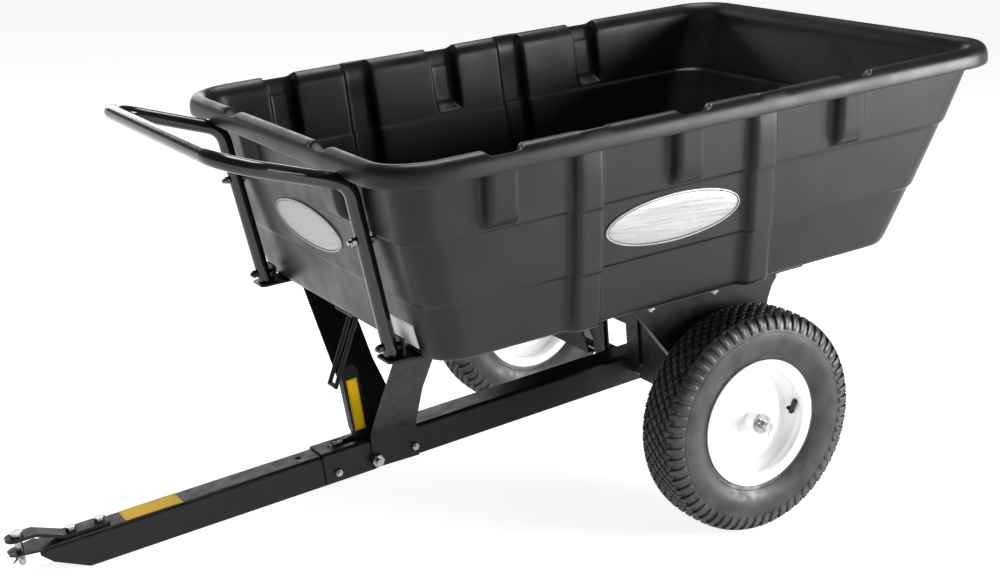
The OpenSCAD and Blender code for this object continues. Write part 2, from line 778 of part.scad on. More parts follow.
module axle_washers() {
  color([0.75, 0.76, 0.78]) parked() both_sides() for (y = [343.5, 429.4])
    difference() {
      rod_y(18, y, y + 3);
      rod_y(axle_r + 0.04, y - 5, y + 8);
    }
}

module cotter_pins() {
  color([0.75, 0.76, 0.78]) parked() both_sides()
    translate([0, 438, 0]) rotate([0, -cotter_turn, 0]) {
      rod_z(2.1, -11, 11.5);
      translate([0, 0, 15.5]) rotate([90, 0, 0]) rotate_extrude() translate([4, 0])
        circle(1.6, $fn = 16);
      for (a = [-38, 38]) translate([0, 0, -10]) rotate([0, 180 + a, 0])
        cylinder(r = 1.2, h = 17);
    }
}

// ---- hitch pin ---------------------------------------------------------------

clip_z = 3;

module hitch_pin() {
  top = front_top + strap_rise + strap_t;
  color([0.78, 0.79, 0.81]) parked() in_tongue() translate([-hitch_x, 0, 0]) difference() {
    union() {
      rod_z(hitch_pin_r, -8, top + 5);
      rod_z(10.5, top + 0.3, top + 7);
      translate([0, 0, -12]) cylinder(r1 = 3.5, r2 = hitch_pin_r, h = 4.01);
    }
    rod_y(1.65, -20, 20, 0, clip_z);
  }
}

module hairpin_clip() {
  wire = 1.6;
  reach = 4.2;
  color([0.78, 0.79, 0.81]) parked() in_tongue() translate([-hitch_x, 0, clip_z]) {
    rod_y(wire, -16, 20);
    translate([-reach, 19.7, 0]) rotate_extrude(angle = 180) translate([reach, 0])
      circle(wire + 0.04, $fn = 24);
    rod_y(wire, -6, 20, -2 * reach);
    translate([-2 * reach, -6, 0]) sphere(wire + 0.15, $fn = 24);
    translate([-2 * reach, -6, 0]) rotate([0, 0, -35]) rod_y(wire, -14, 0);
  }
}

// ---- wheels ------------------------------------------------------------------

// Sections are [radius, distance out from the wheel centre].
rim_path = [[hub_r + 0.05, 15], [34, 15], [46, 9], [56, 1.2], [78, 1.2], [85, 3.5], [91, 12],
            [95.5, 17], [97.5, 20], [97.8, 30], [100, 34.5], [104, 36.6], [rim_r - 4, 37.2],
            [rim_r - 1.4, 38.8]];

function tyre_outer() = concat(
  [[101.5, 20], [101.5, 31], [104, 33.6], [112, 34.2], [rim_r + 1.4, 35.2]],
  [[124, tyre_half_w - 9], [138, tyre_half_w - 3], [155, tyre_half_w], [170, tyre_half_w - 2],
   [184, tyre_half_w - 5], [wheel_r - 9, tyre_half_w - 8], [wheel_r - 3, tyre_half_w - 16],
   [wheel_r - 0.6, 20], [wheel_r, 8]]);
function tyre_inner() =
  [[wheel_r - 10, 0], [wheel_r - 11, 18], [wheel_r - 15, 32], [172, 40.5], [155, 42.5],
   [138, 40], [124, 34], [114, 24], [108, 20]];

module turn_section(p) {
  rotate([-90, 0, 0]) rotate_extrude($fn = 96) polygon(p);
}

module wheel(s) {
  on_side(s) translate([0, track_half, 0]) children();
}

module tyre(s) {
  half = concat(tyre_outer(), [[wheel_r, 0]]);
  core = tyre_inner();
  wheel(s) turn_section(concat(
    half,
    [for (i = [len(half) - 2:-1:0]) [half[i][0], -half[i][1]]],
    [for (i = [len(core) - 1:-1:1]) [core[i][0], -core[i][1]]],
    core));
}

module inner_tube(s) {
  wheel(s) rotate([-90, 0, 0]) rotate_extrude($fn = 96) translate([151, 0]) difference() {
    circle(39.5);
    circle(37.5);
  }
}

module valve_hole() {
  rod_y(4.7, 0, 60, 90, 0);
}

module rim_half(s, out) {
  wheel(s) difference() {
    mirror([0, out ? 0 : 1, 0]) turn_section(strip(rim_path, rim_t));
    if (out) rotate([0, 3, 0]) valve_hole();
  }
}

module hub(s) {
  wheel(s) difference() {
    rod_y(hub_r, -hub_half, hub_half);
    rod_y(12.75, -60, 60);
  }
}

module hub_bushings(s) {
  wheel(s) for (m = [0, 1]) mirror([0, m, 0]) difference() {
    union() {
      rod_y(12.7, hub_half - 26, hub_half);
      rod_y(15, hub_half, hub_half + 1.9);
    }
    rod_y(axle_r + run_gap, 0, 80);
  }
}

module valve_stem(s) {
  wheel(s) rotate([0, 3, 0]) {
    rod_y(4.4, -3, 31, 90, 0);
    rod_x(4.4, 90, 111.4, 0, 0);
  }
}

module valve_cap(s) {
  wheel(s) rotate([0, 3, 0]) {
    rod_y(5.2, 31, 36.5, 90, 0);
    translate([90, 36.5, 0]) rotate([-90, 0, 0]) cylinder(r1 = 5.2, r2 = 4, h = 1.6);
  }
}

rubber = [0.07, 0.07, 0.075];
white_paint = [0.92, 0.92, 0.93];
steel = [0.6, 0.61, 0.63];

module tyre_left() { color(rubber) parked() tyre(left); }
module tyre_right() { color(rubber) parked() tyre(right); }
module inner_tube_left() { color(rubber) parked() inner_tube(left); }
module inner_tube_right() { color(rubber) parked() inner_tube(right); }
module rim_outer_left() { color(white_paint) parked() rim_half(left, true); }
module rim_outer_right() { color(white_paint) parked() rim_half(right, true); }
module rim_inner_left() { color(white_paint) parked() rim_half(left, false); }
module rim_inner_right() { color(white_paint) parked() rim_half(right, false); }
module hub_left() { color(white_paint) parked() hub(left); }
module hub_right() { color(white_paint) parked() hub(right); }
module hub_bushings_left() { color(steel) parked() hub_bushings(left); }
module hub_bushings_right() { color(steel) parked() hub_bushings(right); }
module valve_stem_left() { color(rubber) parked() valve_stem(left); }
module valve_stem_right() { color(rubber) parked() valve_stem(right); }
module valve_cap_left() { color(rubber) parked() valve_cap(left); }
module valve_cap_right() { color(rubber) parked() valve_cap(right); }

// ---- assembly ----------------------------------------------------------------

tub();
handle();
handle_bracket_left();
handle_bracket_right();
handle_foot_bolts();
handle_wall_bolts();
side_bracket_left();
side_bracket_right();
side_bracket_bolts();
axle_brace_left();
axle_brace_right();
cross_panel();
center_strut_left();
center_strut_right();
center_strut_bolts();
latch_striker();
striker_bolts();
badge_left();
badge_right();
badge_front();
tub_label();
rear_tongue();
front_tongue();
hitch_strap();
hitch_strap_bolts();
support_leg_left();
support_leg_right();
pivot_bolt();
leg_bolts();
tongue_bolts();
axle();
axle_washers();
cotter_pins();
tongue_label();
latch_lever();
lever_label();
latch_spring();
hitch_pin();
hairpin_clip();
tyre_left();
inner_tube_left();
rim_outer_left();
rim_inner_left();
hub_left();
hub_bushings_left();
valve_stem_left();
valve_cap_left();
tyre_right();
inner_tube_right();
rim_outer_right();
rim_inner_right();
hub_right();
hub_bushings_right();
valve_stem_right();
valve_cap_right();
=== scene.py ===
"""Garden dump cart: detailed skins, materials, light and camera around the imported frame."""
import json
import math
import random

import bmesh
import bpy
from mathutils import Matrix, Vector


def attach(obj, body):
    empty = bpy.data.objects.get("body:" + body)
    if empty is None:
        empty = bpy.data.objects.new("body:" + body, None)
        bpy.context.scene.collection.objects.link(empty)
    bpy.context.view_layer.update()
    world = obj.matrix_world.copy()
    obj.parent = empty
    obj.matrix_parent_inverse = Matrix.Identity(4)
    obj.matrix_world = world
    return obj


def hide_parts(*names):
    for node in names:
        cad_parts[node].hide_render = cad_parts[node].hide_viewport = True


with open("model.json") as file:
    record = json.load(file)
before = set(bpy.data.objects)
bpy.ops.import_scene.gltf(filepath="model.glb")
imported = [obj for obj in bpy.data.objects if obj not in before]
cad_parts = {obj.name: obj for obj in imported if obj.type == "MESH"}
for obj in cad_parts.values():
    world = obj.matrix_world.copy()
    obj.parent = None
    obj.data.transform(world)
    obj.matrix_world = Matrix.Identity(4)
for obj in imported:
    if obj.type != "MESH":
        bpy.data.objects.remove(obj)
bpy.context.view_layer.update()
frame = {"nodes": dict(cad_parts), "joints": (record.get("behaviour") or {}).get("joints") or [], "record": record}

MM = 0.001
SIDES = {"left": -1, "right": 1}

# ---- the cart's own frame: millimetres, axle centre at the origin ----------------

joints = {joint["name"]: joint for joint in frame["joints"]}
mounts = {mount["name"]: mount for mount in frame["record"]["mounts"]}
axle = Vector(joints["tub_tilt"]["pos_m"])
cart_up = Vector(mounts["cargo_floor"]["axis"])
cart_side = Vector((0, 1, 0))
cart_back = cart_side.cross(cart_up)
CART = Matrix.Translation(axle) @ Matrix((cart_back, cart_side, cart_up)).transposed().to_4x4()

tongue_up = Vector(joints["hitch_pin_lift"]["axis"])
tongue_back = cart_side.cross(tongue_up)
TONGUE = Matrix.Translation(axle) @ Matrix((tongue_back, cart_side, tongue_up)).transposed().to_4x4()


def lookup(value, table):
    """Linear interpolation in a list of (key, value) pairs."""
    if value <= table[0][0]:
        return table[0][1]
    for (k0, v0), (k1, v1) in zip(table, table[1:]):
        if value <= k1:
            return v0 + (v1 - v0) * (value - k0) / (k1 - k0)
    return table[-1][1]


def mesh_piece(name, points, faces, place, body, materials, smooth=True, slots=None):
    """A mesh from points in millimetres, moved into the shared frame by place."""
    mesh = bpy.data.meshes.new(name)
    scale = place @ Matrix.Scale(MM, 4)
    mesh.from_pydata([scale @ Vector(p) for p in points], [], faces)
    for material in materials:
        mesh.materials.append(material)
    mesh.validate()
    mesh.update()
    mesh.polygons.foreach_set("use_smooth", [smooth] * len(mesh.polygons))
    if slots:
        mesh.polygons.foreach_set("material_index", slots)
    piece = bpy.data.objects.new(name, mesh)
    bpy.context.scene.collection.objects.link(piece)
    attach(piece, body)
    return piece


def apply_modifier(piece, kind, **settings):
    """Adds a modifier and applies it to the mesh at once."""
    modifier = piece.modifiers.new(kind, kind)
    for key, value in settings.items():
        setattr(modifier, key, value)
    graph = bpy.context.evaluated_depsgraph_get()
    mesh = bpy.data.meshes.new_from_object(piece.evaluated_get(graph))
    piece.modifiers.clear()
    piece.data = mesh


# ---- materials -------------------------------------------------------------------


class Finish:
    """A procedural material: a Principled shader with helpers for its detail."""

    def __init__(self, name, color, roughness, metallic=0.0, **inputs):
        self.material = bpy.data.materials.new(name)
        self.material.use_nodes = True
        self.nodes = self.material.node_tree.nodes
        self.links = self.material.node_tree.links
        self.shader = self.nodes["Principled BSDF"]
        self.shader.inputs["Base Color"].default_value = (*color, 1)
        self.shader.inputs["Roughness"].default_value = roughness
        self.shader.inputs["Metallic"].default_value = metallic
        for key, value in inputs.items():
            self.shader.inputs[key.replace("_", " ")].default_value = value
        self.coords = self.nodes.new("ShaderNodeTexCoord").outputs["Object"]
        self.normal = None

    def noise(self, scale, detail=4.0, stretch=(1, 1, 1)):
        mapping = self.nodes.new("ShaderNodeMapping")
        mapping.inputs["Scale"].default_value = stretch
        self.links.new(self.coords, mapping.inputs["Vector"])
        noise = self.nodes.new("ShaderNodeTexNoise")
        noise.inputs["Scale"].default_value = scale
        noise.inputs["Detail"].default_value = detail
        self.links.new(mapping.outputs["Vector"], noise.inputs["Vector"])
        return noise.outputs["Fac"]

    def ramp(self, value, low, high, at=(0.35, 0.65)):
        ramp = self.nodes.new("ShaderNodeValToRGB")
        for stop, place, color in zip(ramp.color_ramp.elements, at, (low, high)):
            stop.position = place
            stop.color = (*color, 1) if isinstance(color, tuple) else (color, color, color, 1)
        self.links.new(value, ramp.inputs["Fac"])
        return ramp.outputs["Color"]

    def vary_color(self, value, low, high, at=(0.35, 0.65)):
        self.links.new(self.ramp(value, low, high, at), self.shader.inputs["Base Color"])

    def vary_roughness(self, value, low, high, at=(0.35, 0.65)):
        self.links.new(self.ramp(value, low, high, at), self.shader.inputs["Roughness"])

    def bump(self, value, strength, distance):
        bump = self.nodes.new("ShaderNodeBump")
        bump.inputs["Strength"].default_value = strength
        bump.inputs["Distance"].default_value = distance
        self.links.new(value, bump.inputs["Height"])
        if self.normal:
            self.links.new(self.normal, bump.inputs["Normal"])
        self.normal = bump.outputs["Normal"]
        self.links.new(self.normal, self.shader.inputs["Normal"])


def tub_plastic():
    finish = Finish("tub_polyethylene", (0.009, 0.009, 0.0095), 0.37, Specular_IOR_Level=0.33)
    finish.vary_color(finish.noise(7, 6), (0.008, 0.008, 0.0085), (0.012, 0.012, 0.0125))
    finish.vary_roughness(finish.noise(16, 6), 0.29, 0.42)
    finish.bump(finish.noise(8, 2), 0.12, 0.005)
    finish.bump(finish.noise(700, 3), 0.22, 0.0008)
    return finish.material


def powder_coat(name, color, roughness, coat, shine, orange_peel):
    finish = Finish(name, color, roughness, Coat_Weight=coat, Coat_Roughness=0.12,
                    Specular_IOR_Level=shine)
    bright = tuple(min(1, 1.5 * c) for c in color)
    finish.vary_color(finish.noise(35, 5), color, bright)
    finish.vary_roughness(finish.noise(60, 4), roughness * 0.85, roughness * 1.2)
    finish.bump(finish.noise(520, 2), orange_peel, 0.0005)
    return finish.material


def zinc_plate():
    finish = Finish("zinc_plate", (0.36, 0.36, 0.36), 0.28, metallic=1.0)
    finish.vary_color(finish.noise(260, 5), (0.27, 0.27, 0.28), (0.46, 0.46, 0.45))
    finish.vary_roughness(finish.noise(400, 4), 0.18, 0.38)
    finish.bump(finish.noise(900, 3), 0.12, 0.0003)
    return finish.material


def drawn_steel():
    finish = Finish("drawn_steel", (0.5, 0.51, 0.53), 0.33, metallic=1.0)
    finish.vary_color(finish.noise(90, 5, (1, 0.08, 1)), (0.36, 0.36, 0.37), (0.52, 0.52, 0.52))
    finish.vary_roughness(finish.noise(300, 4, (1, 0.05, 1)), 0.25, 0.42)
    finish.bump(finish.noise(700, 2, (1, 0.03, 1)), 0.15, 0.0003)
    return finish.material


def white_enamel():
    finish = Finish("white_enamel", (0.93, 0.93, 0.92), 0.22, Coat_Weight=0.4)
    finish.vary_color(finish.noise(18, 5), (0.90, 0.90, 0.89), (0.95, 0.95, 0.94))
    finish.bump(finish.noise(160, 2), 0.05, 0.0008)
    return finish.material


def tyre_rubber():
    finish = Finish("tyre_rubber", (0.03, 0.031, 0.032), 0.4, Specular_IOR_Level=0.45)
    finish.vary_color(finish.noise(26, 7), (0.018, 0.019, 0.02), (0.048, 0.05, 0.052))
    finish.vary_roughness(finish.noise(60, 6), 0.30, 0.50)
    finish.bump(finish.noise(900, 4), 0.25, 0.0006)
    return finish.material


def tread_rubber():
    finish = Finish("tread_rubber", (0.02, 0.019, 0.018), 0.6)
    finish.vary_color(finish.noise(70, 5), (0.012, 0.0115, 0.011), (0.05, 0.047, 0.043), (0.4, 0.75))
    finish.vary_roughness(finish.noise(140, 5), 0.45, 0.8)
    finish.bump(finish.noise(700, 4), 0.3, 0.0006)
    return finish.material


def soft_plastic(name, color, roughness):
    finish = Finish(name, color, roughness)
    finish.vary_color(finish.noise(120, 4), color, tuple(1.5 * c for c in color))
    finish.bump(finish.noise(800, 3), 0.15, 0.0004)
    return finish.material


def printed_film(name, color, shade):
    finish = Finish(name, color, 0.45, Specular_IOR_Level=0.15)
    darker = tuple(c * shade for c in color)
    finish.vary_color(finish.noise(60, 5), darker, color)
    finish.bump(finish.noise(300, 3), 0.08, 0.0003)
    return finish.material


def brushed_silver():
    finish = Finish("badge_silver", (0.37, 0.36, 0.35), 0.34, metallic=0.7)
    finish.vary_color(finish.noise(240, 4, (0.04, 1, 1)), (0.34, 0.335, 0.33), (0.46, 0.455, 0.45))
    finish.vary_roughness(finish.noise(500, 4, (0.05, 1, 1)), 0.26, 0.44)
    finish.bump(finish.noise(900, 3), 0.10, 0.0002)
    return finish.material


TUB = tub_plastic()
FRAME_BLACK = powder_coat("frame_powder_coat", (0.005, 0.005, 0.0058), 0.4, 0.0, 0.27, 0.09)
HANDLE_BLACK = powder_coat("handle_powder_coat", (0.004, 0.004, 0.0045), 0.2, 0.5, 0.4, 0.08)
ZINC = zinc_plate()
STEEL = drawn_steel()
WHITE = white_enamel()
RUBBER = tyre_rubber()
TREAD = tread_rubber()
CAP = soft_plastic("valve_rubber", (0.012, 0.012, 0.012), 0.5)
NYLON = soft_plastic("bush_nylon", (0.03, 0.03, 0.03), 0.4)
YELLOW = printed_film("label_yellow", (0.95, 0.58, 0.002), 0.95)
INK = printed_film("label_ink", (0.03, 0.03, 0.03), 0.8)
PAPER = printed_film("label_white", (0.85, 0.85, 0.84), 0.95)
SILVER = brushed_silver()
BADGE_GROOVE = soft_plastic("badge_groove", (0.05, 0.05, 0.055), 0.4)

SLOT_FINISH = {
    "tub_poly": TUB, "frame_black": FRAME_BLACK, "handle_black": HANDLE_BLACK,
    "wheel_white": WHITE, "zinc": ZINC, "axle_steel": STEEL, "bearing": NYLON,
    "tyre_rubber": RUBBER, "rubber": CAP, "badge_silver": SILVER,
    "label_yellow": YELLOW, "label_white": PAPER,
}


def finish_frame():
    """Gives every CAD node the finish of its material slot."""
    for row in frame["record"]["subparts"]:
        node = frame["nodes"][row["node"]]
        node.data.materials.clear()
        node.data.materials.append(SLOT_FINISH[row["material_slot"]])


# ---- tub -------------------------------------------------------------------------

SIDE_HALF = [(240, 367.6), (262, 371), (340, 383), (344, 387.5), (450, 399.5), (454, 404),
             (548, 414)]
FRONT_REACH = [(240, 582), (262, 586.5), (340, 601.5), (344, 605.5), (450, 627), (454, 632),
               (548, 643)]
REAR_REACH = [(240, 372), (262, 384), (340, 425.5), (344, 430), (450, 488.5), (454, 493),
              (548, 541)]
WALL = 4.5
CORNER_R = 60
RIB_DEPTH = 19
RIB_W = 46
POCKET_DEPTH = 23
POCKET_W = 52
NOTCH = 14
RIBS = (35, -314)
SIDE_POCKETS = (220, -122, -475)
NOSE_POCKETS = (188, -188)
TUB_MIDDLE = -105
HEM_RELIEFS = (275, -275)
INNER_POCKET = 0.86


def bump_stations(wall, centre, width, direction, is_rib):
    """Stations across a rib or pocket: (wall, place, place on the inner face, rib share,
    pocket share, hem relief share)."""
    half = width / 2
    section = [(half + 15, 0), (half + 9, 0), (half + 6, 0.12), (half + 1, 0.80), (half - 3, 0.97),
               (half - 9, 1), (half - 17, 1)]
    section = section + [(-place, share) for place, share in reversed(section)]
    rows = []
    for place, share in section:
        rib, pocket = (share, 0) if is_rib else (0, share)
        inner = centre + direction * place * (1 if is_rib else INNER_POCKET)
        rows.append((wall, centre + direction * place, inner, rib, pocket, 0))
    return rows


def relief_stations(centre):
    """Stations across a place where the hem of the rim clears the handle."""
    return [("front", centre + place, centre + place, 0, 0, share)
            for place, share in ((16, 0), (12.5, 1), (-12.5, 1), (-16, 0))]


def tub_stations():
    """Stations once round the tub, starting at the middle of the rear wall. A corner station
    names its quarter of the turn and holds an angle instead of a place."""
    features = sorted([(x, False) for x in SIDE_POCKETS] + [(x, True) for x in RIBS])
    rows = [("rear", 0, 0, 0, 0, 0), ("rear", 150, 150, 0, 0, 0)]

    def corner(index):
        angles = [90 * index + 90 * i / 8 for i in range(9)]
        return [(index, angle, angle, 0, 0, 0) for angle in angles]

    def side(wall, direction):
        order = features if direction < 0 else features[::-1]
        found = []
        for x, is_rib in order:
            found += bump_stations(wall, x, RIB_W if is_rib else POCKET_W, direction, is_rib)
        return found

    rows += corner(0) + side("right", 1) + corner(1)
    rows += relief_stations(HEM_RELIEFS[0])
    for y in NOSE_POCKETS:
        rows += bump_stations("front", y, POCKET_W, 1, False)
    rows += relief_stations(HEM_RELIEFS[1])
    rows += corner(2) + side("left", -1) + corner(3) + [("rear", -150, -150, 0, 0, 0)]
    return rows


def rim_level(offset, z):
    spread = max(0, min(1, 1 - offset / 33))
    dip = max(0, min(1, (34 - offset) / 18))
    return (548, offset, z, 0.8 * spread, spread, dip)


def tub_levels():
    """Rings from the outer floor up over the rim and down to the inner floor."""
    rows = [(240, -46, 240, 0, 0, 0), (240, -30, 240, 0.5, 0, 0), (240, -16, 240, 0.8, 0, 0),
            (240, -9, 240, 0.9, 0, 0)]
    rows += [(241, -4, 241.3, 0.95, 0, 0), (244, -1, 245, 1, 0, 0), (250, 0, 251, 1, 0, 0)]
    plain = (262, 300, 334, 338, 340.5, 343.5, 346, 350, 400, 444, 448, 450.5, 453.5, 456)
    rows += [(z, 0, z, 1, 0, 0) for z in plain]
    rows += [(z, 0, z, 1, share, 0) for z, share in
             ((458.5, 0.04), (463, 0.45), (470, 0.84), (478, 0.97), (490, 1))]
    rows += [(520, 0, 520, 0.95, 1, 0), (540, 0, 540, 0.85, 1, 0), (548, 0, 548, 0.8, 1, 0)]
    under = ((0.5, 560), (4, 573), (11, 581), (19, 583.5), (27, 577), (31, 568), (32, 560),
             (33, 553))
    over = ((34.5, 552.4), (36, 554), (36.3, 562), (35.6, 571), (33, 579.3), (27, 586), (19, 588.4),
            (12, 586.8), (4, 580), (-1, 571), (-3, 563))
    rows += [rim_level(*q) for q in under + over]
    rows += [(548, -WALL, 548, 0.8, 1, 0), (520, -WALL, 520, 0.95, 1, 0)]
    rows += [(z, -WALL, z + 2.5, 1, share, 0) for z, share in
             ((490, 1), (478, 0.97), (470, 0.84), (463, 0.43), (458.5, 0.03))]
    rows += [(z, -WALL, z + 0.7, 1, 0, 0) for z in reversed(plain)]
    rows += [(254, -WALL - 1.6, 256.5, 1, 0, 0), (248, -WALL - 5, 250.4, 0.95, 0, 0),
             (244, -WALL - 11, 246, 0.85, 0, 0), (240, -WALL - 19, 244.5, 0.7, 0, 0),
             (240, -34, 244.5, 0.4, 0, 0), (240, -46, 244.5, 0, 0, 0)]
    return rows


def tub_point(station, level):
    wall, outer_place, inner_place, rib, pocket, relief = station
    key, offset, z, rib_share, pocket_share, dip = level
    place = inner_place if offset < -1 and key > 300 else outer_place
    if offset > 31.5:
        z += 0.8 * relief * max(0, 562 - z)
    side = lookup(key, SIDE_HALF) + offset
    front = lookup(key, FRONT_REACH) + offset
    rear = lookup(key, REAR_REACH) + offset
    out = rib * rib_share * RIB_DEPTH + pocket * pocket_share * POCKET_DEPTH
    z -= pocket * dip * NOTCH
    if wall == "rear":
        return (rear, place, z)
    if wall == "right":
        return (place, side + out, z)
    if wall == "front":
        return (-front - out, place, z)
    if wall == "left":
        return (place, -side - out, z)
    radius = max(12, CORNER_R + offset)
    angle = math.radians(place)
    centre_x = rear - radius if wall in (0, 3) else -front + radius
    centre_y = side - radius if wall in (0, 1) else -side + radius
    return (centre_x + radius * math.cos(angle), centre_y + radius * math.sin(angle), z)


def build_tub():
    stations = tub_stations()
    levels = tub_levels()
    count = len(stations)
    points = [tub_point(s, lv) for lv in levels for s in stations]
    faces = []
    for j in range(len(levels) - 1):
        for i in range(count):
            k = (i + 1) % count
            faces.append((j * count + i, j * count + k, (j + 1) * count + k, (j + 1) * count + i))
    for ring, flip in ((0, True), (len(levels) - 1, False)):
        shrink = [ring * count + i for i in range(count)]
        for share in (0.66, 0.33):
            start = len(points)
            for i in range(count):
                x, y, z = points[ring * count + i]
                points.append((TUB_MIDDLE + (x - TUB_MIDDLE) * share, y * share, z))
            grown = [start + i for i in range(count)]
            for i in range(count):
                k = (i + 1) % count
                quad = (shrink[i], shrink[k], grown[k], grown[i])
                faces.append(quad[::-1] if flip else quad)
            shrink = grown
        points.append((TUB_MIDDLE, 0, points[shrink[0]][2]))
        for i in range(count):
            tri = (shrink[i], shrink[(i + 1) % count], len(points) - 1)
            faces.append(tri[::-1] if flip else tri)
    piece = mesh_piece("tub_shell", points, faces, CART, "tub_body", [TUB])
    apply_modifier(piece, "SUBSURF", levels=2)
    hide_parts("tub")


# ---- tyres -----------------------------------------------------------------------

CROWN_R = 200
LUGS = 60
LUG_HALF_W = 5.0
TREAD_EDGE_R = 190
DIAMOND = [(-7.4, 0), (-3.4, 4.9), (3.4, 4.9), (7.4, 0), (3.4, -4.9), (-3.4, -4.9)]
CARCASS = [(101.6, 27), (102.5, 31.5), (107, 34.6), (114, 35.6), (122, 39.2), (132, 44),
           (143, 47.6), (155, 49.0), (167, 48.2), (178, 46.0), (187, 42.4), (193, 37.5),
           (196.2, 31), (197.6, 20), (198.2, 9), (198.4, 0)]
INSIDE = [(101.6, -20), (108, -24), (124, -33), (142, -40), (160, -42), (178, -38),
          (190, -26), (192, 0)]


def catmull(points, steps):
    """A smooth curve through points."""
    path = [points[0]] + list(points) + [points[-1]]
    found = []
    for a, b, c, d in zip(path, path[1:], path[2:], path[3:]):
        for i in range(steps):
            t = i / steps
            found.append(tuple(
                0.5 * (2 * q + (r - p) * t + (2 * p - 5 * q + 4 * r - s) * t * t
                       + (3 * q - p - 3 * r + s) * t ** 3)
                for p, q, r, s in zip(a, b, c, d)))
    found.append(tuple(points[-1]))
    return found


HALF_SECTION = catmull(CARCASS, 4)


def section_at(out):
    """Point and outward normal of the tyre section where the curve is out mm from the middle,
    measured along it from the crown."""
    travelled = 0
    curve = HALF_SECTION[::-1]
    for (r0, y0), (r1, y1) in zip(curve, curve[1:]):
        step = math.hypot(r1 - r0, y1 - y0)
        if travelled + step >= out:
            t = (out - travelled) / step
            nr, ny = (y1 - y0) / step, -(r1 - r0) / step
            return (r0 + (r1 - r0) * t, y0 + (y1 - y0) * t), (nr, ny)
        travelled += step
    return curve[-1], (0, 1)


def tyre_point(angle, along, height):
    """Point on the tyre: angle round it, distance along the section from the crown, height."""
    (r, y), (nr, ny) = section_at(abs(along))
    sign = -1 if along < 0 else 1
    radius = r + nr * height
    return (radius * math.sin(angle), sign * (y + ny * height), radius * math.cos(angle))


def block(outline, centre_angle, centre_along, height, points, faces):
    """A tapered tread block on the carcass. The outline is (round, along) in millimetres."""
    rings = ((1.06, -0.8), (1.0, height * 0.72), (0.94, height * 0.93), (0.82, height))
    count = len(outline)
    start = len(points)
    for grow, lift in rings:
        for a, b in outline:
            points.append(tyre_point(centre_angle + a * grow / CROWN_R,
                                     centre_along + b * grow, lift))
    for j in range(len(rings) - 1):
        for i in range(count):
            k = (i + 1) % count
            faces.append((start + j * count + i, start + j * count + k,
                          start + (j + 1) * count + k, start + (j + 1) * count + i))
    faces.append(tuple(start + (len(rings) - 1) * count + i for i in range(count)))


def shoulder_lug(angle, sign, points, faces):
    """A rectangular bar that runs from the tread over the shoulder and down the sidewall."""
    stations = ((33, 4.2, 0.9), (37, 4.6, 1.0), (43, 4.0, 1.0), (49, 3.2, 1.0), (55, 2.6, 1.0),
                (60, 2.2, 1.0), (62, 1.2, 0.92))
    start = len(points)
    for along, height, width in stations:
        for across, lift in ((-1.1, -0.8), (-1.0, height * 0.8), (-0.82, height), (0.82, height),
                             (1.0, height * 0.8), (1.1, -0.8)):
            turn = across * LUG_HALF_W * width / CROWN_R
            points.append(tyre_point(angle + turn, sign * along, lift))
    for j in range(len(stations) - 1):
        for i in range(5):
            faces.append((start + 6 * j + i, start + 6 * j + i + 1,
                          start + 6 * (j + 1) + i + 1, start + 6 * (j + 1) + i))
    faces.append(tuple(start + i for i in range(6)))
    faces.append(tuple(start + 6 * (len(stations) - 1) + i for i in range(6)))


def build_tyre(side):
    sign = SIDES[side]
    centre = Matrix.Translation(Vector(joints[f"wheel_{side}_spin"]["pos_m"]))
    section = HALF_SECTION + [(r, -y) for r, y in reversed(HALF_SECTION[:-1])]
    section += INSIDE + [(r, -y) for r, y in reversed(INSIDE[:-1])]
    rounds = 192
    points = []
    faces = []
    for i in range(rounds):
        angle = 2 * math.pi * i / rounds
        points += [(r * math.sin(angle), y, r * math.cos(angle)) for r, y in section]
    count = len(section)
    for i in range(rounds):
        for j in range(count):
            a, b = i * count, (i + 1) % rounds * count
            k = (j + 1) % count
            faces.append((a + j, a + k, b + k, b + j))
    slots = [1 if min(math.hypot(points[k][0], points[k][2]) for k in face) > TREAD_EDGE_R else 0
             for face in faces]
    pitch = 2 * math.pi / LUGS
    for i in range(LUGS):
        block(DIAMOND, pitch * i, 0, 4.5, points, faces)
        for mirror in (-1, 1):
            block(DIAMOND, pitch * (i + 0.5), mirror * 10.5, 4.5, points, faces)
            block(DIAMOND, pitch * i, mirror * 21, 4.6, points, faces)
            block(DIAMOND, pitch * (i + 0.5), mirror * 30.5, 4.4, points, faces)
    slots += [1] * (len(faces) - len(slots))
    for i in range(LUGS):
        for mirror in (-1, 1):
            shoulder_lug(pitch * i, mirror, points, faces)
    slots += [0] * (len(faces) - len(slots))
    piece = mesh_piece(f"tyre_tread_{side}", points, faces, centre, f"wheel_{side}",
                       [RUBBER, TREAD], slots=slots)
    mesh = bmesh.new()
    mesh.from_mesh(piece.data)
    bmesh.ops.recalc_face_normals(mesh, faces=mesh.faces)
    mesh.to_mesh(piece.data)
    mesh.free()
    sharpen(piece, 38)
    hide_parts(f"tyre_{side}")
    build_tyre_trim(side, sign, centre)


MOULD_LINES = (66, 112)
HAIR_LINES = (0, 14, 33, 40, 96, 108)
HAIRS = 44


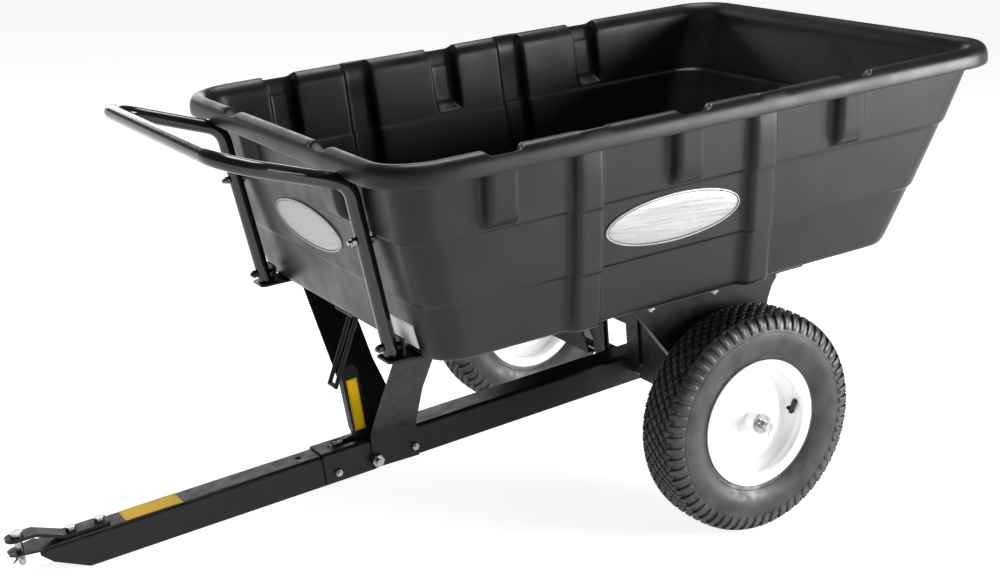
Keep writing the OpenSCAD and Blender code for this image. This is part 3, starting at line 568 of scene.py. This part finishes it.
def build_tyre_trim(side, sign, centre):
    """The mould line round each sidewall and the little vent hairs of a new tyre."""
    points = []
    faces = []

    def ring(radius, out, size):
        rounds = 144
        start = len(points)
        for i in range(rounds):
            angle = 2 * math.pi * i / rounds
            for dr, dy in ((-size, -0.3), (0, size * 0.7), (size, -0.3)):
                points.append(((radius + dr) * math.sin(angle), out + math.copysign(1, out) * dy,
                               (radius + dr) * math.cos(angle)))
        for i in range(rounds):
            a, b = start + 3 * i, start + 3 * ((i + 1) % rounds)
            faces.append((a, a + 1, b + 1, b))
            faces.append((a + 1, a + 2, b + 2, b + 1))
            faces.append((a + 2, a, b, b + 2))

    for mirror in (-1, 1):
        for along in MOULD_LINES:
            (r, y), _ = section_at(along)
            ring(r, mirror * y, 0.9)
    picks = random.Random(7 if sign < 0 else 8)
    for _ in range(HAIRS):
        angle = picks.uniform(0, 2 * math.pi)
        along = picks.choice(HAIR_LINES) * picks.choice((-1, 1))
        on_wall = abs(along) > 50
        root = Vector(tyre_point(angle, along, 0.5 if on_wall else 3))
        tip = Vector(tyre_point(angle + picks.uniform(-0.01, 0.01), along, 2.0 if on_wall else 6.2))
        start = len(points)
        for place, size in ((root, 0.45), (tip, 0.2)):
            for turn in range(4):
                spin = math.pi / 2 * turn
                points.append((place.x + size * math.cos(spin), place.y + size * math.sin(spin),
                               place.z))
        for turn in range(4):
            k = (turn + 1) % 4
            faces.append((start + turn, start + k, start + 4 + k, start + 4 + turn))
        faces.append(tuple(start + 4 + turn for turn in range(4)))
    trim = mesh_piece(f"tyre_trim_{side}", points, faces, centre, f"wheel_{side}", [RUBBER])


def sharpen(piece, degrees):
    """Smooth shading that stays crisp across edges steeper than the angle."""
    mesh = piece.data
    mesh.polygons.foreach_set("use_smooth", [True] * len(mesh.polygons))
    mesh.set_sharp_from_angle(angle=math.radians(degrees))


# ---- small turned parts ----------------------------------------------------------

FLUTE_DEPTH = 0.05


def turned(name, profile, place, body, material, replaced=None, count=24, fluted=False):
    """A lathe-turned piece: profile is (radius, height) up the local Z axis."""
    points = []
    faces = []
    for radius, height in profile:
        for i in range(count):
            angle = 2 * math.pi * i / count
            r = radius * (1 + FLUTE_DEPTH) if fluted and i % 2 else radius
            points.append((r * math.cos(angle), r * math.sin(angle), height))
    for j in range(len(profile) - 1):
        for i in range(count):
            k = (i + 1) % count
            faces.append((j * count + i, j * count + k, (j + 1) * count + k, (j + 1) * count + i))
    faces.append(tuple(reversed(range(count))))
    faces.append(tuple((len(profile) - 1) * count + i for i in range(count)))
    piece = mesh_piece(name, points, faces, place, body, [material])
    sharpen(piece, 35)
    if replaced:
        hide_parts(replaced)


VALVE_R = 93
VALVE_OUT = 13
VALVE_TURN = 3
STEM = [(6.4, -7), (6.4, -1.5), (5.6, 1), (4.9, 3), (4.7, 9), (4.5, 10.5)]
CAP_OUTLINE = [(4.3, 10.7), (4.8, 11.1), (4.8, 20), (4.3, 21.2), (2.5, 21.8)]


def build_valves():
    """The rubber valve leans up along the wheel disc, with a ribbed cap."""
    turn = math.radians(VALVE_TURN)
    for side, sign in SIDES.items():
        hub = Vector(joints[f"wheel_{side}_spin"]["pos_m"])
        foot = Vector((VALVE_R * math.cos(turn), sign * VALVE_OUT, VALVE_R * math.sin(turn))) * MM
        lean = Vector((-0.2, 0.5 * sign, 0.86)).normalized()
        place = Matrix.Translation(hub + foot) @ lean.to_track_quat("Z", "Y").to_matrix().to_4x4()
        turned(f"valve_rubber_{side}", STEM, place, f"wheel_{side}", CAP,
               f"valve_stem_{side}")
        turned(f"valve_top_{side}", CAP_OUTLINE, place, f"wheel_{side}", CAP,
               f"valve_cap_{side}", 32, True)


FLOOR_TOP = 244.5
FLOOR_BOLTS = [(-505, 262), (14, 60), (-538, 13), (-160, 341), (-25, 341), (112, 341)]
LOW_HEAD = [(9.4, -0.4), (9.4, 0.15), (8.9, 0.5), (6.5, 1.0), (3.5, 1.3), (1.2, 1.4)]


def build_floor_heads():
    """The low heads of the bolts through the tub floor, seen from inside."""
    for index, (x, y) in enumerate(FLOOR_BOLTS):
        for side, sign in SIDES.items():
            place = CART @ Matrix.Translation(Vector((x, sign * y, FLOOR_TOP)) * MM)
            turned(f"floor_head_{index}_{side}", LOW_HEAD, place, "tub_body", ZINC)


# ---- badges and labels -----------------------------------------------------------

BADGE_SIZE = (273, 85)
BADGE_RINGS = [(0, 0, 0), (0, 1.6, 0), (0.8, 2.5, 0), (2.0, 2.8, 0), (3.2, 2.6, 0), (3.8, 1.7, 1),
               (5.0, 1.6, 1), (5.6, 2.0, 0), (6.6, 2.3, 0), (20, 2.6, 0), (30, 2.8, 0)]
SIDE_BADGE = (-140, 400)
FRONT_BADGE = (14, 404)
LIFT = 0.06
RULE = 0.7


def oval_points(length, height, z, count):
    return [(length / 2 * math.cos(2 * math.pi * i / count),
             height / 2 * math.sin(2 * math.pi * i / count), z) for i in range(count)]


def build_badge(name, place):
    """A domed oval plate: a plain brushed field inside a grooved border. A ring is
    (inset, height, 1 for the groove's finish)."""
    count = 72
    length, height = BADGE_SIZE
    rings = BADGE_RINGS
    points = []
    faces = []
    slots = []
    for inset, z, _ in rings:
        points += oval_points(length - 2 * inset, height - 2 * inset, z, count)
    for j in range(len(rings) - 1):
        for i in range(count):
            k = (i + 1) % count
            faces.append((j * count + i, j * count + k, (j + 1) * count + k, (j + 1) * count + i))
            slots.append(rings[j + 1][2])
    faces.append(tuple((len(rings) - 1) * count + i for i in range(count)))
    slots.append(0)
    faces.append(tuple(reversed(range(count))))
    slots.append(0)
    piece = mesh_piece(f"{name}_plate", points, faces, place, "tub_body",
                       [SILVER, BADGE_GROOVE], slots=slots)
    sharpen(piece, 40)
    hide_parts(name)


def wall_place(position, out, along):
    """A place on a wall of the tub: local X runs along the wall and local Z out of it."""
    out = Vector(out).normalized()
    along = Vector(along)
    across = out.cross(along)
    turn = Matrix((along, across, out)).transposed().to_4x4()
    return CART @ Matrix.Translation(Vector(position) * MM) @ turn


def build_badges():
    lean = math.atan2(12, 106)
    x, z = SIDE_BADGE
    reach = lookup(z, SIDE_HALF) + LIFT
    for side, sign in SIDES.items():
        place = wall_place((x, sign * reach, z),
                           (0, sign * math.cos(lean), -math.sin(lean)), (-sign, 0, 0))
        build_badge(f"badge_{side}", place)
    build_badge("badge_front", front_place(*FRONT_BADGE, math.atan2(21.5, 106)))


def front_place(y, z, lean):
    """A place on the front wall, which leans by the angle."""
    return wall_place((-lookup(z, FRONT_REACH) - LIFT, y, z),
                      (-math.cos(lean), 0, -math.sin(lean)), (0, -1, 0))


def build_label(name, node, place, width, height, body, ground, border=2.2):
    """A thin printed film with a plain ruled border and no lettering."""
    xs = (-width / 2, -width / 2 + border, -width / 2 + border + RULE,
          width / 2 - border - RULE, width / 2 - border, width / 2)
    ys = (-height / 2, -height / 2 + border, -height / 2 + border + RULE,
          height / 2 - border - RULE, height / 2 - border, height / 2)
    points = [(x, y, 0.4) for y in ys for x in xs]
    faces = []
    slots = []
    for j in range(5):
        for i in range(5):
            faces.append((6 * j + i, 6 * j + i + 1, 6 * j + i + 7, 6 * j + i + 6))
            ruled = (i in (1, 3) and 1 <= j <= 3) or (j in (1, 3) and 1 <= i <= 3)
            slots.append(1 if ruled else 0)
    edge = [0, 5, 35, 30]
    start = len(points)
    points += [(points[k][0], points[k][1], 0.02) for k in edge]
    for i in range(4):
        k = (i + 1) % 4
        faces.append((edge[k], edge[i], start + i, start + k))
        slots.append(0)
    faces.append((start + 3, start + 2, start + 1, start))
    slots.append(0)
    piece = mesh_piece(name, points, faces, place, body, [ground, INK], False, slots)
    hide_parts(node)


TONGUE_LABEL = (-968, 0, 14.45)
LEVER_LABEL = ((-590, 112), (-569, 112), (-562, 14), (-583, 14))
LEVER_FACE = -2.52
TUB_LABEL = (-267, 278)


def build_labels():
    place = TONGUE @ Matrix.Translation(Vector(TONGUE_LABEL) * MM)
    build_label("tongue_film", "tongue_label", place, 100, 42.4, "chassis", YELLOW)
    corners = [Vector(q) for q in LEVER_LABEL]
    middle = sum(corners, Vector((0, 0))) / 4
    run = (corners[0] - corners[3]).normalized()
    place = wall_place((middle.x, LEVER_FACE, middle.y), (0, -1, 0), (run.x, 0, run.y))
    build_label("lever_film", "lever_label", place, 98, 20.5, "latch", YELLOW, 1.4)
    place = front_place(*TUB_LABEL, math.atan2(15, 78))
    build_label("tub_film", "tub_label", place, 84, 42, "tub_body", PAPER, 3)


# ---- latch spring ----------------------------------------------------------------

WIRE_R = 0.9
COIL_R = 4.2
COIL_TURNS = 8
COIL_STEPS = 20
COIL_ENDS = (-629, -611)
FRONT_HOOK = [(-636.5, 0, 13), (-636.5, 0, 19), (-636.0, 0, 22), (-634, 0, 23.5), (-631, 0, 23.5)]
REAR_HOOK = [(-609, 0, 24), (-606, 0, 23.5), (-602, 0, 23.5), (-598.5, 0, 23.5)]


def build_spring():
    """The latch's extension spring, wound as one wire with a hook at each end."""
    height = 23.5
    start_x, end_x = COIL_ENDS
    path = list(FRONT_HOOK)
    for i in range(COIL_TURNS * COIL_STEPS + 1):
        angle = 2 * math.pi * i / COIL_STEPS
        x = start_x + (end_x - start_x) * i / (COIL_TURNS * COIL_STEPS)
        path.append((x, COIL_R * math.sin(angle), height + COIL_R * (math.cos(angle) - 1) + 4))
    path += REAR_HOOK
    curve = bpy.data.curves.new("latch_spring_wire", "CURVE")
    curve.dimensions = "3D"
    curve.bevel_depth = WIRE_R * MM
    curve.bevel_resolution = 3
    line = curve.splines.new("POLY")
    line.points.add(len(path) - 1)
    for point, place in zip(line.points, path):
        point.co = (*(TONGUE @ (Vector(place) * MM)), 1)
    piece = bpy.data.objects.new("latch_spring_wire", curve)
    bpy.context.scene.collection.objects.link(piece)
    graph = bpy.context.evaluated_depsgraph_get()
    mesh = bpy.data.meshes.new_from_object(piece.evaluated_get(graph))
    mesh.materials.clear()
    mesh.materials.append(ZINC)
    bpy.data.objects.remove(piece)
    wire = bpy.data.objects.new("latch_spring_wire", mesh)
    bpy.context.scene.collection.objects.link(wire)
    mesh.polygons.foreach_set("use_smooth", [True] * len(mesh.polygons))
    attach(wire, "chassis")
    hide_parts("latch_spring")


# ---- stage -----------------------------------------------------------------------

CAMERA_TURN = (-29.940, 18.387, -4.471)
CAMERA_PLACE = (-1.63996, -2.51977, 1.15014)
CAMERA_LENS = 58.77
CAMERA_SHIFT = (-0.0347, 0.0070)
FLOOR_HALF = 14
FLOOR_GLOW = 0.86
WORLD_STRENGTH = 1.06
WORLD_LOW = (0.02, (1, 1, 1, 1))
WORLD_HIGH = (0.15, (0.09, 0.09, 0.095, 1))
LIGHTS = [
    ("side", (3.2, -3.1, 1.1), (0.5, -0.3, 0.5), (1.8, 1.6), 215),
    ("top", (0.6, 0.9, 4.2), (0.1, 0, 0.4), (2.2, 2.2), 130),
    ("back", (0.3, 3.2, 1.5), (-0.5, 0, 0.5), (2.6, 0.8), 24),
]


def build_camera():
    """The camera, placed in the cart's frame by azimuth, elevation and roll."""
    azimuth, elevation, roll = map(math.radians, CAMERA_TURN)
    back = Vector((math.sin(azimuth) * math.cos(elevation),
                   -math.cos(azimuth) * math.cos(elevation), math.sin(elevation)))
    level = Vector((math.cos(azimuth), math.sin(azimuth), 0))
    rise = back.cross(level)
    right = math.cos(roll) * level + math.sin(roll) * rise
    up = math.cos(roll) * rise - math.sin(roll) * level
    turn = Matrix((right, up, back)).transposed().to_4x4()
    data = bpy.data.cameras.new("camera")
    data.lens = CAMERA_LENS
    data.shift_x, data.shift_y = CAMERA_SHIFT
    camera = bpy.data.objects.new("camera", data)
    bpy.context.scene.collection.objects.link(camera)
    camera.matrix_world = CART @ Matrix.Translation(CAMERA_PLACE) @ turn
    bpy.context.scene.camera = camera


def area_light(name, position, target, size, power):
    data = bpy.data.lights.new(name, "AREA")
    data.shape = "RECTANGLE"
    data.size, data.size_y = size
    data.energy = power
    light = bpy.data.objects.new(name, data)
    light.location = position
    light.rotation_euler = (Vector(target) - Vector(position)).to_track_quat("-Z", "Y").to_euler()
    bpy.context.scene.collection.objects.link(light)


def build_stage():
    """A white floor that glows a little, a horizon that fades upwards, and soft lights."""
    floor_finish = Finish("studio_floor", (0.55, 0.55, 0.55), 0.9)
    floor_finish.vary_color(floor_finish.noise(3, 3), (0.54, 0.54, 0.54), (0.56, 0.56, 0.56))
    floor_finish.shader.inputs["Emission Color"].default_value = (1, 1, 1, 1)
    floor_finish.shader.inputs["Emission Strength"].default_value = FLOOR_GLOW
    size = FLOOR_HALF
    mesh = bpy.data.meshes.new("floor")
    mesh.from_pydata([(-size, -size, 0), (size, -size, 0), (size, size, 0), (-size, size, 0)],
                     [], [(0, 1, 2, 3)])
    mesh.materials.append(floor_finish.material)
    floor = bpy.data.objects.new("floor", mesh)
    bpy.context.scene.collection.objects.link(floor)
    world = bpy.data.worlds.new("studio")
    bpy.context.scene.world = world
    world.use_nodes = True
    nodes, links = world.node_tree.nodes, world.node_tree.links
    direction = nodes.new("ShaderNodeTexCoord").outputs["Generated"]
    split = nodes.new("ShaderNodeSeparateXYZ")
    links.new(direction, split.inputs["Vector"])
    ramp = nodes.new("ShaderNodeValToRGB")
    links.new(split.outputs["Z"], ramp.inputs["Fac"])
    low, high = ramp.color_ramp.elements
    low.position, low.color = WORLD_LOW
    high.position, high.color = WORLD_HIGH
    background = nodes["Background"]
    links.new(ramp.outputs["Color"], background.inputs["Color"])
    background.inputs["Strength"].default_value = WORLD_STRENGTH
    for row in LIGHTS:
        area_light(*row)
    bpy.context.scene.view_settings.view_transform = "Standard"


build_camera()
finish_frame()
build_tub()
for wheel_side in SIDES:
    build_tyre(wheel_side)
build_valves()
build_floor_heads()
build_badges()
build_labels()
build_spring()
build_stage()
